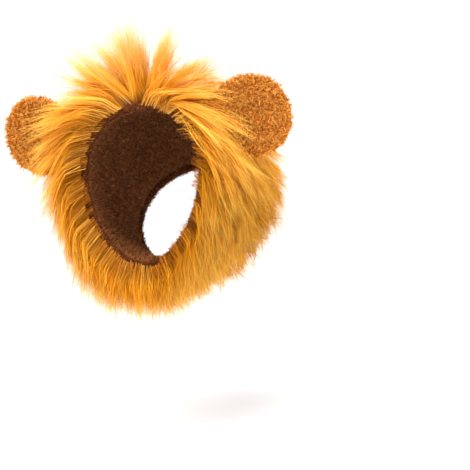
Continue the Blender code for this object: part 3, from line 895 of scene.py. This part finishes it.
class ManeWigEars(bpy.types.Operator):
    """Adds the two padded ears with their curly fleece"""

    bl_idname = "mane_wig.ears"
    bl_label = "Ears"

    def execute(self, context):
        rng = np.random.default_rng(settings().seed + 2)
        body, fleece = cloth_material("ear_plush"), fur_material("ear_fleece")
        around, n, each = 96, FLEECE_TUFTS, FLEECE["strands"]
        turns = np.linspace(0.0, 2 * math.pi, around, endpoint=False)
        front = np.sin(np.linspace(0.02, 1.0, 26) * math.pi / 2)
        behind = np.sin(np.linspace(0.98, 0.02, 25) * math.pi / 2)
        for row in EAR_ROWS:
            ear = named(EAR_COLUMNS, row)
            place = ear_matrix(ear)
            rows = [ear_surface(np.full(around, s), turns, -1.0, place, PAD_INSET) for s in front]
            rows += [ear_surface(np.full(around, s), turns, 1.0, place, PAD_INSET) for s in behind]
            pad = add_mesh(ear["name"] + "_pad", grid_mesh(ear["name"] + "_pad", np.stack(rows)), body)
            finish_piece(pad, [ear["name"]])
            share = np.sqrt(rng.uniform(0.0, 1.0, n))
            turn = rng.uniform(0.0, 2 * math.pi, n)
            face = np.where(rng.random(n) < FLEECE_FRONT, -1.0, 1.0)
            roots = ear_surface(share, turn, face, place, FLEECE_INSET)
            outer = ear_surface(share, turn, face * 1.4, place)
            rim = unit(roots - ear_surface(np.zeros(n), turn, face, place))
            normals = unit(unit(outer - roots) + rim * (share**6)[:, None])
            side = unit(np.cross(normals, rng.normal(size=(n, 3))))
            up = np.cross(normals, side)
            t = np.linspace(0.0, 1.0, 6)[:, None]
            spin = rng.uniform(0, 2 * math.pi, (n, 1, 1)) + t * rng.uniform(*FLEECE_TURN, (n, 1, 1))
            height = rng.uniform(*FLEECE_HEIGHT, (n, 1, 1)) * MM
            curl = side[:, None] * np.cos(spin) + up[:, None] * np.sin(spin)
            curves = roots[:, None] + normals[:, None] * t * height + curl * t * FLEECE_CURL * MM
            points, _ = gathered(rng, curves, (side, up, normals), FLEECE)
            patches = ripples(roots, FLEECE_PATCHES, 8) * FLEECE_PATCH_TONE
            # Painted highlight: the fleece round the ear's rim is lighter.
            patches = patches + FLEECE_RIM_PAINTED_LIGHT * (share > FLEECE_RIM)
            tone = FLEECE_TONE + patches + rng.normal(size=n) * FLEECE_TUFT_TONE
            tone = np.repeat(tone, each) + rng.normal(size=n * each) * FLEECE_STRAND_TONE
            facing = np.repeat(normals, each, 0)
            mesh = strand_mesh(ear["name"] + "_fleece", points, facing, FLEECE_WIDTH, tone, rng)
            finish_piece(add_mesh(ear["name"] + "_fleece", mesh, fleece))
        return {"FINISHED"}


class ManeWigMane(bpy.types.Operator):
    """Adds the mane: its dense undercoat and the long strands in their tufts"""

    bl_idname = "mane_wig.mane"
    bl_label = "Mane"

    def execute(self, context):
        wig = settings()
        rows = hood_wall(
            CLOTH + ROOT_GAP, CLOTH + UNDERCOAT, 1.0, HOOD_LENGTH - 1.0, 40, 160, UNDERCOAT_UNEVEN
        )
        dark = cloth_material("undercoat", wig.mane_root)
        under = add_mesh("mane_undercoat", grid_mesh("mane_undercoat", rows, True), dark)
        finish_piece(under, ["mane"])
        fur = fur_material("mane_fur", (wig.mane_root, wig.mane_middle, wig.mane_tip))
        ends = (-CORE_REACH, HOOD_LENGTH + CORE_REACH)
        core_rows = hood_wall(-CORE_WALL, CLOTH + BACKING, *ends, 12, 48, 0.0)
        core = add_mesh("core", grid_mesh("core", core_rows, True), dark)
        obstacles = [(surface_tree(core), CORE_ROOM)]
        bpy.data.objects.remove(core)
        ears = [(surface_tree(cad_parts[row[0]]), EAR_ROOM) for row in EAR_ROWS]
        obstacles += ears
        each = MANE_TUFTS["strands"]
        for number, row in enumerate(REGION_ROWS):
            region = named(REGION_COLUMNS, row)
            rng = np.random.default_rng(wig.seed + 10 + number)
            locks = region["locks"]
            order = np.arange(locks) + 0.5
            angle = np.radians(region["from_deg"] + (region["to_deg"] - region["from_deg"]) * order / locks)
            deep = (order * GOLDEN_STEP + rng.uniform(-0.1, 0.1, locks)) % 1.0
            along = region["from_along"] + (region["to_along"] - region["from_along"]) * deep
            curves, *sides = guide_curves(rng, angle, along, region["kept"], LOCK_POINTS, obstacles)
            tufts, _ = gathered(rng, curves, sides, MANE_TUFTS)
            tufts[:, 2:] = pushed_out(tufts[:, 2:], ears)
            sides = [np.repeat(side, each, 0) for side in sides]
            points, reach = gathered(rng, tufts, sides, MANE_STRANDS)
            tuft_tone = np.repeat(rng.normal(size=len(tufts)) * TUFT_TONE, MANE_STRANDS["strands"])
            facing = np.repeat(sides[2], MANE_STRANDS["strands"], 0)
            tone = MANE_TONE + MANE_TIP_TONE * reach + tuft_tone
            tone += rng.normal(size=len(points)) * STRAND_TONE
            # Painted light and shade by the angle round the hood: strands on the top lighter, down the
            # right side darker.
            light = between_rows(FLOW_COLUMNS, FLOW_ROWS, "light", np.degrees(angle))
            tone += np.repeat(light, len(points) // locks)
            mesh = strand_mesh(region["name"], points, facing, wig.strand_width, tone, rng)
            finish_piece(add_mesh(region["name"], mesh, fur))
        return {"FINISHED"}


class ManeWigCrest(bpy.types.Operator):
    """Adds the crest: sprays of thin strands that stand up over the face opening"""

    bl_idname = "mane_wig.crest"
    bl_label = "Crest"

    def execute(self, context):
        wig = settings()
        rng = np.random.default_rng(wig.seed + 5)
        curves = []
        for row in SPRAY_ROWS:
            spray = named(SPRAY_COLUMNS, row)
            n = spray["locks"]
            lean = np.radians(spray["lean_deg"] + rng.normal(size=n) * spray["lean_scatter"])
            forward = np.radians(rng.normal(size=n) * CREST_FORWARD_DEG)
            length = (spray["length"] + rng.normal(size=n) * spray["length_scatter"]) / CREST_STEPS * MM
            along = CREST_ALONG + rng.uniform(-CREST_ALONG_SCATTER, CREST_ALONG_SCATTER, n)
            root, normal, _, _ = hood_frame(lean * CREST_ROOT_FAN, along)
            point = root + normal * (CLOTH + CREST_ROOT_GAP) * MM
            way = np.stack([np.sin(lean) * np.cos(forward), -np.sin(forward), np.cos(lean)], -1)
            points = [point]
            drift = np.sign(lean)[:, None] * [CREST_DRIFT, 0, 0]
            for _ in range(CREST_STEPS):
                way = unit(way + DOWN * spray["sag"] / CREST_STEPS + drift)
                point = point + way * length[:, None]
                points.append(point)
            curves.append(np.stack(points, 1))
        curves = np.concatenate(curves)
        sides = [np.tile([way], (len(curves), 1)) for way in ([1.0, 0, 0], [0, 1.0, 0], [0, 0, 1.0])]
        tufts, _ = gathered(rng, curves, sides, CREST_TUFTS)
        sides = [np.repeat(side, CREST_TUFTS["strands"], 0) for side in sides]
        points, reach = gathered(rng, tufts, sides, CREST_STRANDS)
        tone = CREST_TONE + CREST_TIP_TONE * reach + rng.normal(size=len(points)) * CREST_STRAND_TONE
        facing = np.tile([[0.0, -1.0, 0.2]], (len(points), 1))
        mesh = strand_mesh("crest_strands", points, facing, CREST_WIDTH, tone, rng)
        finish_piece(add_mesh("crest_strands", mesh, fur_material("crest_fur")), ["crest"])
        return {"FINISHED"}


def soft_light(lamp, target):
    """A square studio lamp, one of the lamps' rows, that points at the target."""
    light = bpy.data.lights.new(lamp["name"], "AREA")
    light.shape = "SQUARE"
    light.size = lamp["size"]
    light.energy = lamp["power"]
    made = bpy.data.objects.new(lamp["name"], light)
    bpy.context.scene.collection.objects.link(made)
    made.location = lamp["place"]
    made.rotation_euler = (target - Vector(lamp["place"])).to_track_quat("-Z", "Y").to_euler()


def photo_camera(target):
    """The camera at the photograph's angle, with the target at its place in the picture."""
    camera = bpy.data.objects.new("camera", bpy.data.cameras.new("camera"))
    bpy.context.scene.collection.objects.link(camera)
    azimuth, elevation = math.radians(CAMERA_AZIMUTH), math.radians(CAMERA_ELEVATION)
    level = math.cos(elevation)
    back = Vector((math.sin(azimuth) * level, -math.cos(azimuth) * level, math.sin(elevation)))
    roll = Matrix.Rotation(math.radians(CAMERA_ROLL), 3, "Z")
    turn = (-back).to_track_quat("-Z", "Y").to_matrix() @ roll
    right, up = turn.col[0], turn.col[1]
    across = (FACE_PIXEL[0] - PICTURE / 2) * MM_PER_PIXEL * MM
    above = (PICTURE / 2 - FACE_PIXEL[1]) * MM_PER_PIXEL * MM
    place = target + back * CAMERA_DISTANCE - right * across - up * above
    camera.matrix_world = Matrix.Translation(place) @ turn.to_4x4()
    camera.data.sensor_width = SENSOR
    camera.data.lens = SENSOR * CAMERA_DISTANCE / (PICTURE * MM_PER_PIXEL * MM)
    return camera


class ManeWigStage(bpy.types.Operator):
    """Adds the pale floor, the soft lamps and the camera"""

    bl_idname = "mane_wig.stage"
    bl_label = "Stage"

    def execute(self, context):
        face = Vector(-CROWN * MM)
        sweep = bpy.data.meshes.new("floor")
        half = FLOOR_HALF_WIDTH
        points = [(x, y, FLOOR_LEVEL + z) for y, z in FLOOR_RUN for x in (-half, half)]
        strips = [(2 * i, 2 * i + 1, 2 * i + 3, 2 * i + 2) for i in range(len(FLOOR_RUN) - 1)]
        sweep.from_pydata(points, [], strips)
        sweep.shade_smooth()
        white = bpy.data.materials.new("paper")
        white.use_nodes = True
        paper = white.node_tree.nodes["Principled BSDF"]
        paper.inputs["Base Color"].default_value = FLOOR_WHITE
        paper.inputs["Roughness"].default_value = FLOOR_ROUGHNESS
        add_mesh("floor", sweep, white)
        world = bpy.data.worlds.new("studio")
        context.scene.world = world
        world.use_nodes = True
        world.node_tree.nodes["Background"].inputs["Color"].default_value = (1.0, 1.0, 1.0, 1.0)
        world.node_tree.nodes["Background"].inputs["Strength"].default_value = STUDIO_LIGHT
        for row in LAMP_ROWS:
            soft_light(named(LAMP_COLUMNS, row), face)
        context.scene.camera = photo_camera(face)
        context.scene.view_settings.view_transform = "Standard"
        return {"FINISHED"}


class ManeWigPanel(bpy.types.Panel):
    """The wig's steps and sizes"""

    bl_idname = "VIEW3D_PT_mane_wig"
    bl_label = "Lion Mane Wig"
    bl_space_type = "VIEW_3D"
    bl_region_type = "UI"
    bl_category = "Mane Wig"

    def draw(self, context):
        for name in ManeWigSettings.__annotations__:
            self.layout.prop(context.scene.mane_wig, name)
        for step in STEPS:
            self.layout.operator(step.bl_idname)


STEPS = (ManeWigHood, ManeWigHems, ManeWigEars, ManeWigMane, ManeWigCrest, ManeWigStage)


def register():
    bpy.utils.register_class(ManeWigSettings)
    bpy.types.Scene.mane_wig = bpy.props.PointerProperty(type=ManeWigSettings)
    for step in (*STEPS, ManeWigPanel):
        bpy.utils.register_class(step)


def unregister():
    for step in reversed((*STEPS, ManeWigPanel)):
        bpy.utils.unregister_class(step)
    del bpy.types.Scene.mane_wig
    bpy.utils.unregister_class(ManeWigSettings)


def main():
    register()
    bpy.ops.mane_wig.hood()
    bpy.ops.mane_wig.hems()
    bpy.ops.mane_wig.ears()
    bpy.ops.mane_wig.mane()
    bpy.ops.mane_wig.crest()
    bpy.ops.mane_wig.stage()


if __name__ == "__main__":
    main()
